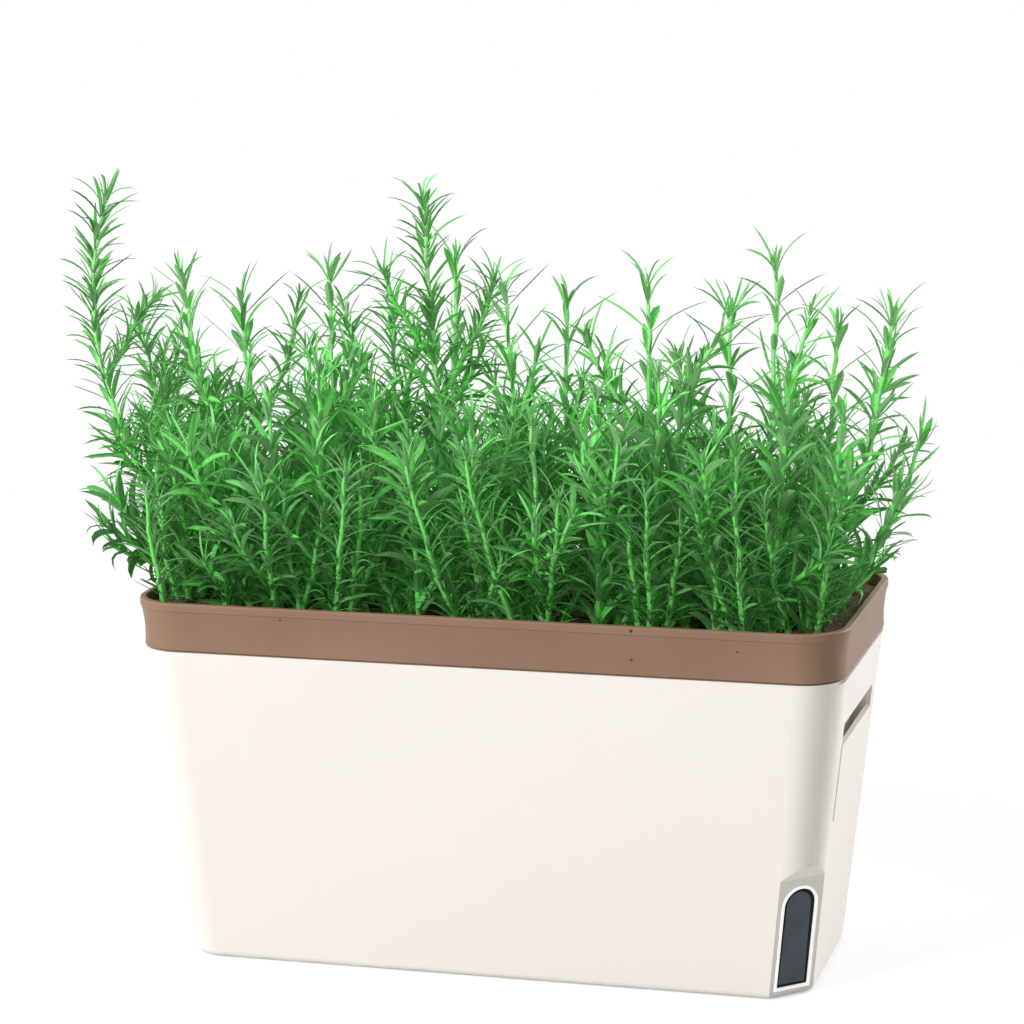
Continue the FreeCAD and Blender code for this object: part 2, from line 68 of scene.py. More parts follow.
class Value:
    # one socket of a node tree; +, - and * on it add Math nodes
    def __init__(self, finish, socket):
        self.finish = finish
        self.socket = socket

    def maths(self, operation, first, second):
        return self.finish.node("ShaderNodeMath", {"operation": operation}, {0: first, 1: second})

    def __add__(self, other):
        return self.maths("ADD", self, other)

    def __sub__(self, other):
        return self.maths("SUBTRACT", self, other)

    def __rsub__(self, other):
        return self.maths("SUBTRACT", other, self)

    def __mul__(self, other):
        return self.maths("MULTIPLY", self, other)

    __radd__ = __add__
    __rmul__ = __mul__

    def size(self):
        return self.finish.node("ShaderNodeMath", {"operation": "ABSOLUTE"}, {0: self})


class Finish:
    # a material or a world under construction
    def __init__(self, owner):
        self.owner = owner
        owner.use_nodes = True
        self.tree = owner.node_tree

    def node(self, kind, settings, sockets, out=0):
        made = self.tree.nodes.new(kind)
        for name, value in settings.items():
            setattr(made, name, value)
        self.feed(made, sockets)
        return Value(self, made.outputs[out])

    def feed(self, node, sockets):
        for name, value in sockets.items():
            if isinstance(value, Value):
                self.tree.links.new(value.socket, node.inputs[name])
            else:
                node.inputs[name].default_value = value

    def between(self, value, band, to=(0.0, 1.0)):
        # a soft step over a band of the value
        return self.node("ShaderNodeMapRange", {"clamp": True, "interpolation_type": "SMOOTHSTEP"}, {
            "Value": value, "From Min": band[0], "From Max": band[1], "To Min": to[0], "To Max": to[1]})

    def mix(self, share, first, second):
        return self.node("ShaderNodeMix", {"data_type": "RGBA"}, {
            "Factor": share, mixFirst: asColour(first), mixSecond: asColour(second)}, out=mixColour)

    def ramp(self, value, places, colours):
        # colours at their places on a scale from 0 to 1
        shown = self.node("ShaderNodeValToRGB", {}, {"Fac": value})
        elements = shown.socket.node.color_ramp.elements
        while len(elements) < len(places):
            elements.new(1.0)
        for element, place, colour in zip(elements, places, colours):
            element.position = place
            element.color = (*colour, 1)
        return shown

    def bump(self, height, kind):
        strength, distance = kind
        return self.node("ShaderNodeBump", {}, {
            "Height": height, "Strength": strength, "Distance": distance})


def asColour(value):
    return value if isinstance(value, Value) else (*value, 1)


class Surface(Finish):
    # a material with a Principled shader; what is the same all over is set on its own sockets
    def __init__(self, name, specular, glow=0.0):
        super().__init__(bpy.data.materials.new(name))
        self.shader = self.tree.nodes["Principled BSDF"]
        self.shader.inputs["Specular IOR Level"].default_value = specular
        self.shader.inputs["Emission Strength"].default_value = glow
        self.place = self.node("ShaderNodeTexCoord", {}, {}, out="Object")

    def along(self, axis):
        return self.node("ShaderNodeSeparateXYZ", {}, {"Vector": self.place}, out=axis)

    def noise(self, kind):
        scale, detail, rough = kind
        return self.node("ShaderNodeTexNoise", {}, {
            "Vector": self.place, "Scale": scale, "Detail": detail, "Roughness": rough})

    def finished(self, colour, uneven, gloss, normal):
        # roughness follows the uneven noise, and what glows glows in its own colour
        self.feed(self.shader, {
            "Base Color": colour,
            "Roughness": self.between(uneven, glossBand, gloss),
            "Normal": normal,
        })
        if self.shader.inputs["Emission Strength"].default_value > 0:
            self.feed(self.shader, {"Emission Color": colour})
        return self.owner


def newObject(name, data):
    made = bpy.data.objects.new(name, data)
    bpy.context.scene.collection.objects.link(made)
    return made


# Moulded plastics, seal and pane

# In every look a noise is given as scale, detail and roughness, a bump as strength and distance,
# and a band as the two values that something changes between.
glossBand = (0.3, 0.7)
creamLook = {
    "colour": (0.91, 0.862, 0.805),
    "warmColour": (0.9, 0.848, 0.788),
    "specular": 0.4,
    "cloud": (9.0, 4.0, 0.5),
    "warmBand": (0.3, 0.75),
    "peel": (850.0, 2.0, 0.5),  # orange peel of the moulded face
    "peelBump": (0.05, 0.0004),
    "gloss": (0.36, 0.46),
    # the painted shadow line under the collar at both end walls
    "lineLow": 0.0020, "lineHigh": 0.0014, "lineEnd": 0.0003,  # below the pot's top edge
    "lineReach": 0.003,
    "lineDepth": 0.85,
    "lineColour": (0.085, 0.06, 0.045),
    "speckColour": (0.16, 0.115, 0.08),
    "speckScale": 26.0,
    "speckSize": 0.018,  # share of a cell
    "speckShare": 0.35,  # share of the cells that have one
}
brownLook = {
    "colour": (0.262, 0.156, 0.1),
    "lightColour": (0.292, 0.18, 0.12),
    "darkColour": (0.21, 0.12, 0.075),
    "specular": 0.25,
    "cloud": (11.0, 5.0, 0.6),
    "lightBand": (0.35, 0.7),
    "grain": (620.0, 3.0, 0.5),
    "grainBump": (0.06, 0.0004),
    "darkBand": (0.55, 0.8), "darkShare": 0.35,
    "gloss": (0.4, 0.52),
    "speckColour": (0.055, 0.035, 0.025),
    "speckScale": 60.0,
    "speckSize": 0.04,
    "speckShare": 0.5,
}
sealLook = {
    "colour": (0.95, 0.945, 0.93),
    "shadeColour": (0.9, 0.89, 0.87),
    "specular": 0.35,
    "glow": 0.45,  # painted highlight: the seal glows in its own colour, standing in for light caught on its bevel
    "cloud": (60.0, 4.0, 0.5),
    "shadeBand": (0.4, 0.8),
    "grain": (900.0, 2.0, 0.5),
    "grainBump": (0.05, 0.0003),
    "gloss": (0.45, 0.6),
}
paneLook = {
    "colour": (0.042, 0.066, 0.088),
    "deepColour": (0.028, 0.043, 0.056),
    "specular": 0.4,
    "borderShadeColour": (0.008, 0.009, 0.01),
    "borderSpecular": 0.08,
    "borderWidth": 0.0021,
    "haze": (55.0, 4.0, 0.5),
    "hazeBand": (0.3, 0.7),
    "ripple": (300.0, 2.0, 0.5),
    "rippleBump": (0.02, 0.0002),
    "gloss": (0.14, 0.26),
    "samePlace": 1e-6,  # points this close are one point
    "flatAngle": 1.0,  # faces that differ by fewer degrees are one face
}
speckFade = 1.7  # a speck's soft edge ends at this many times its size
speckStep = 0.02  # width of the step between cells with and without a speck
cupCount = 4


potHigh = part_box("outer_pot")[1]


def specks(finish, look):
    # sparse soil crumbs: dots at some of the cells' middles
    cell = {"Vector": finish.place, "Scale": look["speckScale"], "Randomness": 1.0}
    distance = finish.node("ShaderNodeTexVoronoi", {"feature": "F1"}, cell)
    chosen = finish.node("ShaderNodeTexVoronoi", {"feature": "F1"}, cell, out="Color")
    pick = finish.node("ShaderNodeSeparateColor", {}, {"Color": chosen})
    size = look["speckSize"]
    rare = 1 - look["speckShare"]
    dot = 1 - finish.between(distance, (size, size * speckFade))
    return dot * finish.between(pick, (rare, rare + speckStep))


def rubLine(finish, look):
    # painted shadow: a dark line along the top of both end walls, standing in for the shadow of the gap
    # under the collar
    height = finish.along("Z")
    outward = finish.along("X").size()
    line = finish.between(height, (potHigh.z - look["lineLow"], potHigh.z - look["lineHigh"]))
    line = line * (1 - finish.between(height, (potHigh.z - look["lineEnd"], potHigh.z)))
    atEnds = finish.between(outward, (potHigh.x - look["lineReach"], potHigh.x))
    return line * atEnds * look["lineDepth"]


def creamPlastic():
    look = creamLook
    finish = Surface("cream_plastic", look["specular"])
    cloud = finish.noise(look["cloud"])
    colour = finish.mix(finish.between(cloud, look["warmBand"]), look["colour"], look["warmColour"])
    colour = finish.mix(specks(finish, look), colour, look["speckColour"])
    # painted shadow of the gap under the collar, dark along the top of the end walls
    colour = finish.mix(rubLine(finish, look), colour, look["lineColour"])
    peel = finish.noise(look["peel"])
    return finish.finished(colour, cloud, look["gloss"], finish.bump(peel, look["peelBump"]))


def brownPlastic():
    look = brownLook
    finish = Surface("brown_plastic", look["specular"])
    cloud = finish.noise(look["cloud"])
    grain = finish.noise(look["grain"])
    colour = finish.mix(finish.between(cloud, look["lightBand"]), look["colour"], look["lightColour"])
    dark = finish.between(grain, look["darkBand"], (0.0, look["darkShare"]))
    colour = finish.mix(dark, colour, look["darkColour"])
    colour = finish.mix(specks(finish, look), colour, look["speckColour"])
    return finish.finished(colour, cloud, look["gloss"], finish.bump(grain, look["grainBump"]))


def paleSeal():
    look = sealLook
    # the glow paints a highlight into the seal's colour
    finish = Surface("pale_seal", look["specular"], look["glow"])
    cloud = finish.noise(look["cloud"])
    colour = finish.mix(finish.between(cloud, look["shadeBand"]), look["colour"], look["shadeColour"])
    normal = finish.bump(finish.noise(look["grain"]), look["grainBump"])
    return finish.finished(colour, cloud, look["gloss"], normal)


def smokedPane(name, colour, deepColour, specular):
    look = paneLook
    finish = Surface(name, specular)
    haze = finish.noise(look["haze"])
    colour = finish.mix(finish.between(haze, look["hazeBand"]), colour, deepColour)
    normal = finish.bump(finish.noise(look["ripple"]), look["rippleBump"])
    return finish.finished(colour, haze, look["gloss"], normal)


def paneWithBorder():
    # the pane's own form, with a dark border round its largest face where it sits in the seal: painted shade
    # of the recess round the pane
    look = paneLook
    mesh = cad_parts["window_lens"].data.copy()
    mesh.materials.clear()
    mesh.materials.append(smokedPane("smoked_pane", look["colour"], look["deepColour"], look["specular"]))
    # the border is painted shade from the recess round the pane
    border = look["borderShadeColour"]
    mesh.materials.append(smokedPane("pane_shade_border", border, border, look["borderSpecular"]))
    form = bmesh.new()
    form.from_mesh(mesh)
    bmesh.ops.remove_doubles(form, verts=form.verts, dist=look["samePlace"])
    flat = math.radians(look["flatAngle"])
    bmesh.ops.dissolve_limit(form, angle_limit=flat, verts=form.verts, edges=form.edges)
    front = max(form.faces, key=lambda face: face.calc_area() * (face.normal.x - face.normal.y > 0))
    made = bmesh.ops.inset_individual(form, faces=[front], thickness=look["borderWidth"])
    for face in form.faces:
        face.material_index = 0
        face.smooth = False
    for face in made["faces"]:
        face.material_index = 1
    form.to_mesh(mesh)
    form.free()
    piece = newObject("sight_pane", mesh)
    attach(piece, "outer")
    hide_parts("window_lens")


def wear(node, material):
    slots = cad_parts[node].data.materials
    slots.clear()
    slots.append(material)


brown = brownPlastic()
wear("outer_pot", creamPlastic())
wear("insert_pot", brown)
for cupNumber in range(1, cupCount + 1):
    wear("wick_cup_" + str(cupNumber), brown)
wear("window_gasket", paleSeal())
paneWithBorder()
print("plastics, seal and pane finished")


# Places taken from the frame, in metres

tubLow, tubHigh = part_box("insert_pot")
boxLow, boxHigh = boxAtLoad
lipTop = tubHigh.z
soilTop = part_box("potting_mix")[1].z
lipThickness = 0.0038
openingHalfLength = (tubHigh.x - tubLow.x) / 2 - lipThickness
openingHalfWidth = (tubHigh.y - tubLow.y) / 2 - lipThickness
openingRadius = 0.0202
openingEase = 0.006  # how far before the lip leaves start to bend back
leafMargin = 0.001  # between the lip and the leaves inside it
lipBand = 0.0015  # above the lip, where leaves still keep inside it
soilEase = 0.003  # how far above the soil low leaves start to level out
boxEase = (0.010, 0.016, 0.006)  # how far before the box leaves start to bend back
spreadLeft = 1.15  # metres that leaves may reach outward per metre above the lip
spreadRight = 1.0
spreadEase = 0.020  # how far before that they start to bend up
tiny = 1e-9  # keeps a division away from zero


def eased(values, limit, ease):
    # sizes past limit - ease bend over softly and never reach the limit
    size = np.abs(values)
    straight = np.minimum(size, limit - ease)
    return np.sign(values) * (straight + ease * (1 - np.exp((straight - size) / ease)))


def keptInOpening(points, margin):
    # the nearest places inside the lip's rounded opening, for an array of points
    straight = np.array((openingHalfLength - openingRadius, openingHalfWidth - openingRadius))
    flat = points[:, :2]
    middle = np.clip(flat, -straight, straight)
    away = flat - middle
    far = np.maximum(np.linalg.norm(away, axis=1, keepdims=True), tiny)
    shrink = eased(far, openingRadius - margin, openingEase) / far
    return np.column_stack((middle + away * shrink, points[:, 2]))


def held(points):
    # Below the lip leaves stay inside the pot's opening. Above it they spread with height at the
    # ends, and stay inside the part's box.
    low = points[:, 2] < lipTop + lipBand
    kept = np.where(low[:, None], keptInOpening(points, leafMargin), points)
    depth = eased(np.maximum(lipTop - kept[:, 2], 0), lipTop - soilTop, soilEase)
    kept[:, 2] = np.maximum(kept[:, 2], lipTop) - depth
    rise = np.maximum(kept[:, 2] - lipTop, 0)
    spread = np.where(kept[:, 0] > 0, spreadRight, spreadLeft)
    kept[:, 0] = eased(kept[:, 0], openingHalfLength + spread * rise, spreadEase)
    centre = (np.array(boxLow) + np.array(boxHigh)) / 2
    return centre + eased(kept - centre, np.array(boxHigh) - centre, np.array(boxEase))


# Rosemary

# The ramp's places belong to deep, shade, middle and light. Each share says how much of
# something goes into the shade or the colour.
leafLook = {
    "deep": (0.022, 0.09, 0.018),
    "shade": (0.045, 0.21, 0.034),
    "middle": (0.112, 0.55, 0.084),
    "light": (0.28, 0.86, 0.24),
    "rib": (0.36, 0.88, 0.31),
    "under": (0.23, 0.5, 0.2),
    "glow": 0.07,  # painted light: leaves and stems glow in their own colour, standing in for light that passes through a thin leaf
    "heightBand": (soilTop, soilTop + 0.11),
    "specular": 0.3,
    "mottle": (420.0, 3.0, 0.5), "mottleBump": (0.25, 0.0005),
    "halfBand": (0.46, 0.54),  # painted light: one half of a leaf is lighter than the other, as if its fold caught the light on one side
    # painted shade: the height shares darken leaves, their backs and their pale roots towards the soil
    "heightShadeShare": 0.28, "toneShare": 0.56, "mottleShare": 0.3, "halfLightShare": 0.16,
    "alongShare": 0.14, "darker": 0.095,
    "rampPlaces": (0.05, 0.3, 0.58, 1.0),
    "edgeBand": (0.3, 0.5), "edgeShare": 0.35,
    "ribBand": (0.0, 0.12), "ribEnd": (0.3, 1.0), "ribShare": 0.45,
    "rootBand": (0.0, 0.3), "rootShare": 0.35, "rootHeightShare": 0.4,
    "gloss": (0.42, 0.6),
    "backSpecular": 0.25,
    "felt": (900.0, 3.0, 0.5), "feltBump": (0.3, 0.0004),
    "feltBand": (0.45, 0.8), "feltShare": 0.3,
    "backHeightShare": 0.4, "backToneShare": 0.6,
    "backGloss": (0.6, 0.8),
}
stemLook = {
    "green": (0.22, 0.86, 0.17),
    "shade": (0.1, 0.46, 0.08),
    "pale": (0.5, 0.85, 0.42),
    "wood": (0.22, 0.2, 0.08),
    "specular": 0.3,
    "ridges": (500.0, 4.0, 0.5), "ridgesBump": (0.3, 0.0005),
    "heightShadeShare": 0.6, "toneShare": 0.4,
    "paleBand": (0.2, 0.6),
    "woodBand": (0.5, 0.75), "woodShare": 0.5,
    "gloss": (0.45, 0.65),
}

# Sizes of the leaves and stems; lengths in metres, angles from the stem in degrees
broadLeaves = {
    "pitch": 0.0118, "perWhorl": 4, "length": 0.032, "width": 0.0036, "lean": (36, 78),
    "tipLean": (28, 66), "tone": (0.1, 1.0), "openFrom": 0.84, "tufts": 0.55, "round": 0.25,
    "paleStem": 0.0,
}
slimLeaves = {
    "pitch": 0.0094, "perWhorl": 4, "length": 0.031, "width": 0.0022, "lean": (42, 80),
    "tipLean": (34, 76), "tone": (0.0, 1.0), "openFrom": 0.60, "tufts": 0.45, "round": 0.2,
    "paleStem": 0.5,
}
fineLeaves = {
    "pitch": 0.0060, "perWhorl": 4, "length": 0.026, "width": 0.0016, "lean": (44, 80),
    "tipLean": (36, 72), "tone": (0.0, 0.8), "openFrom": 0.97, "tufts": 0.35, "round": 0.0,
    "paleStem": 0.8,
}
openLeaves = {
    "pitch": 0.0125, "perWhorl": 3, "length": 0.031, "width": 0.0020, "lean": (34, 70),
    "tipLean": (30, 80), "tone": (0.1, 1.0), "openFrom": 0.45, "tufts": 0.3, "round": 0.1,
    "paleStem": 0.2,
}
sprigSizes = {
    "reachLeft": 0.224, "reachRight": 0.2075, "top": 0.3925,
    "footRadius": 0.0019, "tipRadius": 0.0009, "endShare": 0.6, "nodeSwell": 1.2,
    "nodeBelow": 0.0015, "nodeAbove": 0.0012,  # a stem swells this far round a whorl
    "halfLength": 0.16505, "halfWidth": 0.06373,  # of the soil that carries stems
    "footDepth": 0.004, "topGap": 0.004, "wobble": 0.0009,
    "firstWhorl": 0.005, "pitchRange": (0.85, 1.15),
    "openPitch": 0.0112, "openPitchRange": (0.8, 1.25),
    "sharpAngle": 50, "seed": 71,
}
# Shoots off a stem, and shoots that come up from the soil beside it; their shade darkens their leaves and
# stems as painted shade
sideSizes = {
    "count": 6, "rightCount": 2, "rightFrom": 0.11,
    "places": (0.06, 0.62), "length": (0.035, 0.078), "lean": (20, 46), "bow": 0.12,
    "growth": 0.35, "scale": 0.85, "shade": 0.2, "openFrom": 0.3, "leftmost": -0.205,
}
rootSizes = {
    "count": 5, "endCount": 11, "endFrom": -0.9,
    "places": (0.3, 1.0), "length": (0.045, 0.105), "lean": (6, 26), "bow": 0.06,
    "growth": 0.45, "scale": 0.9, "shade": 0.42,
    "spread": 0.016, "endTurn": 0.45, "endSpread": 0.036, "margin": 0.005,
}
# Leaves of a whorl; a share of them is missing, and the lowest ones are shorter
whorlSizes = {
    "lowShare": 0.72, "grownFrom": 0.15, "gapChance": 0.06, "wander": 0.25, "usualTone": 0.3,
    "widths": (0.75, 1.4), "broadWidth": 1.9, "broadChance": 0.1, "lengths": (0.75, 1.12),
    "leanWander": 14, "tipLeanWander": 26,
}
tuftSizes = {
    "length": (0.010, 0.018), "width": (0.0018, 0.0030), "lean": (14, 30), "tipLean": (30, 55),
    "round": 0.4,
}
# Near a stem's tip: needles in pairs, bracts that hug the stem, and the leaves of the tip itself
needleSizes = {
    "length": (0.024, 0.038), "width": (0.0011, 0.0018), "lean": (30, 56), "tipLean": (48, 98),
    "tone": (0.2, 0.8), "round": 0.0, "wander": 0.4,
}
bractSizes = {
    "length": (0.012, 0.021), "width": (0.0024, 0.0036), "lean": (8, 20), "tipLean": (20, 40),
    "tone": (0.5, 0.95), "round": 0.8, "turn": (0.6, 1.6), "chance": 0.75,
}
tipSizes = {
    "count": 7, "depth": 0.003, "wander": 0.25, "width": (0.0012, 0.0020), "tone": 0.9,
    "shortLength": (0.009, 0.016), "shortLean": 4, "shortTipLean": (16, 34),
    "longLength": (0.018, 0.030), "longLean": (14, 30), "longTipLean": (50, 92),
}
# How a leaf's form varies: sideways drift, roll round its own line, fold along the midrib, and
# how its width grows and tapers
leafForm = {
    "drift": 0.45, "roll": 0.8, "openRoll": 0.9, "fold": (0.25, 0.6),
    "taper": 0.75, "roundTaper": 0.35, "rootWidth": 0.42, "swell": 2.1, "roundSwell": 0.7,
    "keel": 0.12,
}
midrib = 0.5  # place across a leaf, from one edge at 0 to the other at 1

# One row per stem: foot x, foot y, tip x, tip y, tip height, bow, leaves.
# Foot and tip places are shares of the soil's half length and half width, or of the reach.
sprigShares = (
    (-0.97, 0.58, -0.98, 0.63, 0.67, 0.14, fineLeaves),
    (-0.86, 0.66, -0.73, 0.72, 0.715, 0.04, slimLeaves),
    (-0.66, 0.66, -0.57, 0.72, 0.60, 0.0, slimLeaves),
    (-0.30, 0.66, -0.19, 0.69, 0.83, 0.0, slimLeaves),
    (-0.48, 0.66, -0.35, 0.72, 0.68, 0.0, fineLeaves),
    (0.09, 0.66, 0.08, 0.72, 0.72, 0.0, slimLeaves),
    (0.28, 0.66, 0.18, 0.72, 0.58, 0.0, slimLeaves),
    (0.58, 0.66, 0.50, 0.72, 0.705, 0.03, slimLeaves),
    (0.84, 0.63, 0.77, 0.66, 0.685, 0.06, slimLeaves),
    (-0.94, 0.0, -0.98, -0.03, 1.0, 0.32, fineLeaves),
    (-0.80, 0.04, -0.80, 0.0, 0.79, 0.08, slimLeaves),
    (-0.58, 0.0, -0.44, 0.0, 0.81, 0.0, slimLeaves),
    (-0.20, 0.0, -0.21, -0.03, 1.0, 0.0, fineLeaves),
    (0.04, 0.0, -0.02, 0.0, 0.78, 0.0, slimLeaves),
    (0.44, 0.0, 0.34, 0.0, 0.81, 0.0, slimLeaves),
    (0.72, 0.0, 0.66, -0.03, 0.855, 0.05, slimLeaves),
    (0.92, 0.0, 0.94, -0.06, 0.74, 0.08, slimLeaves),
    (-0.95, -0.46, -0.92, -0.60, 0.28, 0.18, broadLeaves),
    (-0.84, -0.66, -0.65, -0.78, 0.44, 0.04, broadLeaves),
    (-0.70, -0.66, -0.51, -0.80, 0.52, 0.0, broadLeaves),
    (-0.53, -0.63, -0.40, -0.75, 0.61, 0.0, broadLeaves),
    (-0.24, -0.67, -0.18, -0.82, 0.45, 0.0, broadLeaves),
    (-0.05, -0.66, -0.04, -0.75, 0.51, 0.0, fineLeaves),
    (0.15, -0.67, 0.11, -0.80, 0.50, 0.0, slimLeaves),
    (0.33, -0.67, 0.27, -0.82, 0.57, 0.0, broadLeaves),
    (0.50, -0.63, 0.42, -0.75, 0.62, 0.0, broadLeaves),
    (0.69, -0.67, 0.56, -0.82, 0.47, 0.0, broadLeaves),
    (0.83, -0.64, 0.73, -0.76, 0.62, 0.04, broadLeaves),
    (0.95, -0.58, 0.86, -0.70, 0.53, 0.04, broadLeaves),
    (0.96, 0.16, 1.0, 0.16, 0.45, 0.15, openLeaves),
    (0.92, 0.50, 0.94, 0.56, 0.26, 0.12, openLeaves),
    (0.96, -0.34, 0.98, -0.46, 0.37, 0.16, openLeaves),
    (-0.40, -0.30, -0.30, -0.36, 0.52, 0.0, slimLeaves),
)


def leafMarks(finish):
    # what each point of a leaf carries: place across, place along, tone of the leaf
    marks = finish.node("ShaderNodeAttribute", {"attribute_name": "leafMarks"}, {}, out="Color")
    split = finish.node("ShaderNodeSeparateColor", {}, {"Color": marks})
    sockets = split.socket.node.outputs
    return Value(finish, sockets[0]), Value(finish, sockets[1]), Value(finish, sockets[2])


def litHeight(finish):
    # painted shade: 0 at the soil, where leaves and stems are coloured darker as if shaded, 1 where they
    # stand free and are coloured as lit
    return finish.between(finish.along("Z"), leafLook["heightBand"])


def leafFace():
    look = leafLook
    finish = Surface("rosemary_leaf", look["specular"], look["glow"])
    across, along, tone = leafMarks(finish)
    height = litHeight(finish)
    mottle = finish.noise(look["mottle"])
    # painted light on one half of each leaf
    half = finish.between(across, look["halfBand"])
    shade = height * look["heightShadeShare"] + tone * look["toneShare"] + mottle * look["mottleShare"]
    shade = shade + half * look["halfLightShare"] - along * look["alongShare"] - look["darker"]
    colour = finish.ramp(shade, look["rampPlaces"], (
        look["deep"], look["shade"], look["middle"], look["light"]))
    fromRib = (across - midrib).size()
    colour = finish.mix(finish.between(fromRib, look["edgeBand"]) * look["edgeShare"], colour, look["deep"])
    rib = (1 - finish.between(fromRib, look["ribBand"])) * (1 - finish.between(along, look["ribEnd"]))
    colour = finish.mix(rib * look["ribShare"], colour, look["rib"])
    root = 1 - finish.between(along, look["rootBand"])
    colour = finish.mix(root * (look["rootShare"] + height * look["rootHeightShare"]), colour, look["rib"])
    return finish.finished(colour, mottle, look["gloss"], finish.bump(mottle, look["mottleBump"]))


def leafBack():
    look = leafLook
    finish = Surface("rosemary_leaf_back", look["backSpecular"], look["glow"])
    tone = leafMarks(finish)[2]
    height = litHeight(finish)
    felt = finish.noise(look["felt"])
    # painted shade: leaf backs are darker towards the soil
    share = height * look["backHeightShare"] + tone * look["backToneShare"]
    colour = finish.mix(share, look["shade"], look["under"])
    felted = finish.between(felt, look["feltBand"], (0.0, look["feltShare"]))
    colour = finish.mix(felted, colour, look["light"])
    return finish.finished(colour, felt, look["backGloss"], finish.bump(felt, look["feltBump"]))


def stemSkin():
    look = stemLook
    # the glow paints light into the stem's own colour
    finish = Surface("rosemary_stem", look["specular"], leafLook["glow"])
    along, tone = leafMarks(finish)[1:]
    height = litHeight(finish)
    ridges = finish.noise(look["ridges"])
    # painted shade: stems are darker towards the soil and on shaded shoots
    share = height * look["heightShadeShare"] + tone * look["toneShare"]
    colour = finish.mix(share, look["shade"], look["green"])
    colour = finish.mix(along * finish.between(ridges, look["paleBand"]), colour, look["pale"])
    woody = finish.between(ridges, look["woodBand"]) * (1 - height)
    colour = finish.mix(woody * look["woodShare"], colour, look["wood"])
    return finish.finished(colour, ridges, look["gloss"], finish.bump(ridges, look["ridgesBump"]))


class PieceMesh:
    # points, faces and marks of one piece, gathered before the mesh is made
    def __init__(self):
        self.points = []
        self.faces = []
        self.slots = []
        self.marks = []

    def add(self, points, faces, slot, marks):
        start = len(self.points)
        self.points.extend(points)
        self.marks.extend(marks)
        for face in faces:
            self.faces.append([start + index for index in face])
            self.slots.append(slot)

    def made(self, name, materials, sharpAngle):
        mesh = bpy.data.meshes.new(name)
        mesh.from_pydata(self.points, [], self.faces)
        for material in materials:
            mesh.materials.append(material)
        mesh.polygons.foreach_set("material_index", self.slots)
        if self.marks:
            layer = mesh.color_attributes.new("leafMarks", "FLOAT_COLOR", "POINT")
            layer.data.foreach_set("color", [part for mark in self.marks for part in (*mark, 1.0)])
        mesh.shade_smooth()
        mesh.set_sharp_from_angle(angle=math.radians(sharpAngle))
        mesh.validate()
        return newObject(name, mesh)


stemSlot, faceSlot, backSlot = 0, 1, 2
leafRows = 5
rowPoints = 4
stemSides = 6


class LeafHeap:
    # the leaves of one sprig, noted one by one and shaped together
    def __init__(self, rng):
        self.rng = rng
        self.rows = []

    def add(self, root, axis, out, length, width, lean, tone, roundness, roll=leafForm["roll"]):
        rng = self.rng
        drift = rng.uniform(-leafForm["drift"], leafForm["drift"])
        turned = rng.uniform(-roll, roll)
        fold = rng.uniform(*leafForm["fold"])
        first, last = math.radians(lean[0]), math.radians(lean[1])
        self.rows.append((
            *root, *axis, *out, length, width, first, last, tone, roundness, drift, turned, fold))

    def points(self):
        # Per leaf: rows of two edges, the groove between them and the keel below, then the tip.
        # A noted leaf has three vectors of three numbers, and then one number for each measure.
        form = leafForm
        table = np.array(self.rows)
        root, axis, out = table[:, 0:3], table[:, 3:6], table[:, 6:9]
        length, width, first, last, tone, roundness, drift, roll, fold = (
            table[:, column:column + 1] for column in range(9, 18))
        side = unit(np.cross(axis, out))
        place = root
        rows = []
        marks = []
        for row in range(leafRows):
            along = row / leafRows
            angle = first + (last - first) * along
            direction = unit(axis * np.cos(angle) + out * np.sin(angle) + side * (drift * along))
            upper = unit(np.cross(direction, side))
            across = unit(side * np.cos(roll) + upper * np.sin(roll))
            upper = np.cross(direction, across)
            taper = (1 - along) ** (form["taper"] - form["roundTaper"] * roundness)
            swell = form["rootWidth"] + (form["swell"] + form["roundSwell"] * roundness) * along
            half = width / 2 * taper * swell
            lift = upper * (half * fold)
            rows.extend((place - across * half + lift, place, place + across * half + lift,
                         place - upper * (width * form["keel"])))
            marks.extend(markRows(share, along, tone) for share in (0.0, midrib, 1.0, midrib))
            place = place + direction * (length / leafRows)
        rows.append(place)
        marks.append(markRows(midrib, 1.0, tone))
        return np.stack(rows, axis=1), np.stack(marks, axis=1)

    def intoMesh(self, mesh):
        points, marks = self.points()
        count = points.shape[1]
        start = len(mesh.points)
        mesh.points.extend(held(points.reshape(-1, 3)).tolist())
        mesh.marks.extend(marks.reshape(-1, 3).tolist())
        upperFaces, lowerFaces = leafFaces()
        for leaf in range(len(self.rows)):
            first = start + leaf * count
            for slot, faces in ((faceSlot, upperFaces), (backSlot, lowerFaces)):
                mesh.faces.extend([[first + corner for corner in face] for face in faces])
                mesh.slots.extend([slot] * len(faces))


def unit(vectors):
    return vectors / np.linalg.norm(vectors, axis=1, keepdims=True)


def markRows(across, along, tone):
    return np.column_stack((np.full(len(tone), across), np.full(len(tone), along), tone[:, 0]))


def leafFaces():
    upperFaces = []
    lowerFaces = [(3, 2, 1, 0)]
    for row in range(leafRows - 1):
        low = rowPoints * row
        high = low + rowPoints
        upperFaces.append((low, high, high + 1, low + 1))
        upperFaces.append((low + 1, high + 1, high + 2, low + 2))
        lowerFaces.append((low + 2, high + 2, high + 3, low + 3))
        lowerFaces.append((low + 3, high + 3, high, low))
    end = rowPoints * (leafRows - 1)
    tip = rowPoints * leafRows
    upperFaces.extend(((end, tip, end + 1), (end + 1, tip, end + 2)))
    lowerFaces.extend(((end + 2, tip, end + 3), (end + 3, tip, end)))
    return upperFaces, lowerFaces


